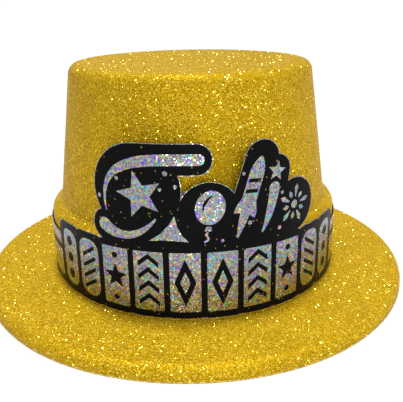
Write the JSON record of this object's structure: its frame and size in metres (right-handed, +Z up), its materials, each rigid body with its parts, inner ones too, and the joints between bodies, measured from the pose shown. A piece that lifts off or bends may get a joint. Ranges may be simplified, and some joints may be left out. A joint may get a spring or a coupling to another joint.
{
  "type": "party top hat",
  "caption": "Party top hat of glitter-coated moulded plastic, with a flat crown, wide turned-down brim and a printed foil banner round the band.",
  "frame": {"origin": "middle of the hat's base, in the plane of the rim's edge, on which it rests", "axes": "+Z up through the crown, -Y towards the front with the banner's design, +X to the wearer's left"},
  "size_m": [0.2698, 0.2882, 0.1332],
  "materials": {
    "shell_plastic": "smooth gold-coloured vacuum-formed sheet",
    "gold_glitter": "dense fine gold glitter in clear lacquer",
    "holographic_film": "metallised silver film with holographic flecks",
    "black_ink": "gloss black ink",
    "tape": "white double-sided tape"
  },
  "bodies": {
    "root": {"hat_shell": "shell_plastic", "glitter_coat": "gold_glitter", "banner_film": "holographic_film", "banner_print": "black_ink", "tape_pads": "tape", "seam_tape": "tape"}
  },
  "joints": []
}
